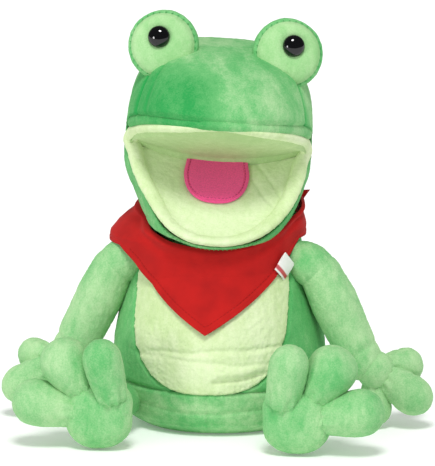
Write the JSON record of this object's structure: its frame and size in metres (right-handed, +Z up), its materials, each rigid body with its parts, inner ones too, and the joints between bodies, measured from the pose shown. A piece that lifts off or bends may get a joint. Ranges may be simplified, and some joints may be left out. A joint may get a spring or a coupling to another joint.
{
  "type": "hand puppet",
  "caption": "Seated frog hand puppet with an open hinged mouth, raised eyes, long stuffed arms, upright feet with round toes and a triangular bandana.",
  "frame": {"origin": "centre of the round hand opening, in the plane of the surface that the puppet sits on", "axes": "+Z up, -Y the way the body faces, +X the frog's own left"},
  "size_m": [0.372, 0.2616, 0.3607],
  "materials": {
    "green_plush": "short-pile plush, two-tone green as its nap turns",
    "light_plush": "short-pile plush, pale yellow-green",
    "red_cotton": "plain-woven cotton",
    "pink_felt": "pressed felt",
    "white_satin": "woven satin ribbon",
    "lining_cloth": "thin woven lining",
    "wadding": "polyester fibre filling",
    "foam_board": "stiff closed-cell foam sheet",
    "black_plastic": "glossy moulded safety eye",
    "white_plastic": "moulded lock washer"
  },
  "bodies": {
    "torso": {"torso_shell": "green_plush", "belly_panel": "light_plush", "hem_band": "green_plush", "base_panel": "green_plush", "torso_wadding": "wadding", "sleeve_lining": "lining_cloth", "bandana": "red_cotton", "bandana_knot": "red_cotton", "bandana_tail_left": "red_cotton", "bandana_tail_right": "red_cotton", "label_tag": "white_satin"},
    "neck": {"neck_tube": "green_plush"},
    "neck_liner": {"neck_lining": "lining_cloth"},
    "head": {"crown_panel": "green_plush", "side_panel_left": "green_plush", "side_panel_right": "green_plush", "nape_panel": "green_plush", "throat_panel": "green_plush", "head_wadding": "wadding", "lip_band": "green_plush", "upper_lip": "light_plush", "palate": "light_plush", "palate_board": "foam_board", "eye_front_left": "light_plush", "eye_back_left": "green_plush", "eye_bead_left": "black_plastic", "eye_washer_left": "white_plastic", "eye_front_right": "light_plush", "eye_back_right": "green_plush", "eye_bead_right": "black_plastic", "eye_washer_right": "white_plastic"},
    "jaw": {"jaw_shell": "green_plush", "jaw_rim": "light_plush", "jaw_lining": "light_plush", "jaw_board": "foam_board", "tongue": "pink_felt"},
    "shoulder_left": {"shoulder_left": "green_plush"},
    "arm_left": {"arm_left": "green_plush"},
    "hand_left": {"palm_left": "green_plush"},
    "finger_low_left": {"finger_low_left": "green_plush"},
    "finger_long_left": {"finger_long_left": "green_plush"},
    "finger_back_left": {"finger_back_left": "green_plush"},
    "leg_left": {"leg_left": "green_plush"},
    "foot_left": {"foot_pad_left": "green_plush"},
    "toe_middle_left": {"toe_middle_left": "green_plush"},
    "toe_outer_left": {"toe_outer_left": "green_plush"},
    "toe_inner_left": {"toe_inner_left": "green_plush"},
    "shoulder_right": {"shoulder_right": "green_plush"},
    "arm_right": {"arm_right": "green_plush"},
    "hand_right": {"palm_right": "green_plush"},
    "finger_low_right": {"finger_low_right": "green_plush"},
    "finger_long_right": {"finger_long_right": "green_plush"},
    "finger_back_right": {"finger_back_right": "green_plush"},
    "leg_right": {"leg_right": "green_plush"},
    "foot_right": {"foot_pad_right": "green_plush"},
    "toe_middle_right": {"toe_middle_right": "green_plush"},
    "toe_outer_right": {"toe_outer_right": "green_plush"},
    "toe_inner_right": {"toe_inner_right": "green_plush"}
  },
  "joints": [
    {"name": "neck_turn", "type": "hinge", "parent": "torso", "child": "neck", "pos_m": [-0.002, 0.002, 0.236], "axis": [0, 0, 1], "range_deg": [-14, 14]},
    {"name": "head_tilt", "type": "hinge", "parent": "neck", "child": "neck_liner", "pos_m": [-0.002, 0.002, 0.236], "axis": [0, 1, 0], "range_deg": [-4, 4]},
    {"name": "head_nod", "type": "hinge", "parent": "neck_liner", "child": "head", "pos_m": [-0.002, 0.002, 0.236], "axis": [0.9879, 0.1388, -0.0698], "range_deg": [-8, 0]},
    {"name": "jaw_hinge", "type": "hinge", "parent": "head", "child": "jaw", "pos_m": [-0.00005, -0.01186, 0.236], "axis": [0.9879, 0.1388, -0.0698], "range_deg": [-48, 0]},
    {"name": "shoulder_swing_left", "type": "hinge", "parent": "torso", "child": "shoulder_left", "pos_m": [0.09, -0.02, 0.139], "axis": [1, 0, 0], "range_deg": [-25, 25], "stiffness_Nm_per_rad": 0.03},
    {"name": "arm_raise_left", "type": "hinge", "parent": "shoulder_left", "child": "arm_left", "pos_m": [0.09, -0.02, 0.139], "axis": [0, -1, 0], "range_deg": [-2, 60], "stiffness_Nm_per_rad": 0.03},
    {"name": "wrist_bend_left", "type": "hinge", "parent": "arm_left", "child": "hand_left", "pos_m": [0.125, -0.022, 0.061], "axis": [0, 1, 0], "range_deg": [-8, 30], "stiffness_Nm_per_rad": 0.01},
    {"name": "finger_low_bend_left", "type": "hinge", "parent": "hand_left", "child": "finger_low_left", "pos_m": [0.13623, -0.022, 0.03525], "axis": [0.9997, 0, 0.0234], "range_deg": [-10, 10], "stiffness_Nm_per_rad": 0.005},
    {"name": "finger_long_bend_left", "type": "hinge", "parent": "hand_left", "child": "finger_long_left", "pos_m": [0.15041, -0.022, 0.04294], "axis": [0.5804, 0, 0.8144], "range_deg": [-10, 10], "stiffness_Nm_per_rad": 0.005},
    {"name": "finger_back_bend_left", "type": "hinge", "parent": "hand_left", "child": "finger_back_left", "pos_m": [0.14923, -0.0126, 0.0523], "axis": [0.6709, -0.7416, 0], "range_deg": [-10, 10], "stiffness_Nm_per_rad": 0.005},
    {"name": "hip_lift_left", "type": "hinge", "parent": "torso", "child": "leg_left", "pos_m": [0.08, -0.069, 0.026], "axis": [-1, 0, 0], "range_deg": [0, 25], "stiffness_Nm_per_rad": 0.05},
    {"name": "ankle_bend_left", "type": "hinge", "parent": "leg_left", "child": "foot_left", "pos_m": [0.081, -0.118, 0.0285], "axis": [0, 0, 1], "range_deg": [-15, 15], "stiffness_Nm_per_rad": 0.02},
    {"name": "toe_middle_bend_left", "type": "hinge", "parent": "foot_left", "child": "toe_middle_left", "pos_m": [0.10183, -0.13301, 0.05475], "axis": [-0.8356, 0, 0.5494], "range_deg": [-8, 8], "stiffness_Nm_per_rad": 0.005},
    {"name": "toe_outer_bend_left", "type": "hinge", "parent": "foot_left", "child": "toe_outer_left", "pos_m": [0.1153, -0.135, 0.03296], "axis": [-0.1433, 0, 0.9897], "range_deg": [-8, 8], "stiffness_Nm_per_rad": 0.005},
    {"name": "toe_inner_bend_left", "type": "hinge", "parent": "foot_left", "child": "toe_inner_left", "pos_m": [0.07494, -0.14394, 0.05861], "axis": [-0.9775, 0, 0.2109], "range_deg": [-8, 8], "stiffness_Nm_per_rad": 0.005},
    {"name": "shoulder_swing_right", "type": "hinge", "parent": "torso", "child": "shoulder_right", "pos_m": [-0.09, -0.02, 0.139], "axis": [1, 0, 0], "range_deg": [-25, 25], "stiffness_Nm_per_rad": 0.03},
    {"name": "arm_raise_right", "type": "hinge", "parent": "shoulder_right", "child": "arm_right", "pos_m": [-0.09, -0.02, 0.139], "axis": [0, 1, 0], "range_deg": [-2, 60], "stiffness_Nm_per_rad": 0.03},
    {"name": "wrist_bend_right", "type": "hinge", "parent": "arm_right", "child": "hand_right", "pos_m": [-0.125, -0.022, 0.061], "axis": [0, -1, 0], "range_deg": [-8, 30], "stiffness_Nm_per_rad": 0.01},
    {"name": "finger_low_bend_right", "type": "hinge", "parent": "hand_right", "child": "finger_low_right", "pos_m": [-0.13623, -0.022, 0.03525], "axis": [0.9997, 0, -0.0234], "range_deg": [-10, 10], "stiffness_Nm_per_rad": 0.005},
    {"name": "finger_long_bend_right", "type": "hinge", "parent": "hand_right", "child": "finger_long_right", "pos_m": [-0.15041, -0.022, 0.04294], "axis": [0.5804, 0, -0.8144], "range_deg": [-10, 10], "stiffness_Nm_per_rad": 0.005},
    {"name": "finger_back_bend_right", "type": "hinge", "parent": "hand_right", "child": "finger_back_right", "pos_m": [-0.14923, -0.0126, 0.0523], "axis": [0.6709, 0.7416, 0], "range_deg": [-10, 10], "stiffness_Nm_per_rad": 0.005},
    {"name": "hip_lift_right", "type": "hinge", "parent": "torso", "child": "leg_right", "pos_m": [-0.08, -0.069, 0.026], "axis": [-1, 0, 0], "range_deg": [0, 25], "stiffness_Nm_per_rad": 0.05},
    {"name": "ankle_bend_right", "type": "hinge", "parent": "leg_right", "child": "foot_right", "pos_m": [-0.081, -0.118, 0.0285], "axis": [0, 0, -1], "range_deg": [-15, 15], "stiffness_Nm_per_rad": 0.02},
    {"name": "toe_middle_bend_right", "type": "hinge", "parent": "foot_right", "child": "toe_middle_right", "pos_m": [-0.10183, -0.13301, 0.05475], "axis": [-0.8356, 0, -0.5494], "range_deg": [-8, 8], "stiffness_Nm_per_rad": 0.005},
    {"name": "toe_outer_bend_right", "type": "hinge", "parent": "foot_right", "child": "toe_outer_right", "pos_m": [-0.1153, -0.135, 0.03296], "axis": [-0.1433, 0, -0.9897], "range_deg": [-8, 8], "stiffness_Nm_per_rad": 0.005},
    {"name": "toe_inner_bend_right", "type": "hinge", "parent": "foot_right", "child": "toe_inner_right", "pos_m": [-0.07494, -0.14394, 0.05861], "axis": [-0.9775, 0, -0.2109], "range_deg": [-8, 8], "stiffness_Nm_per_rad": 0.005}
  ]
}
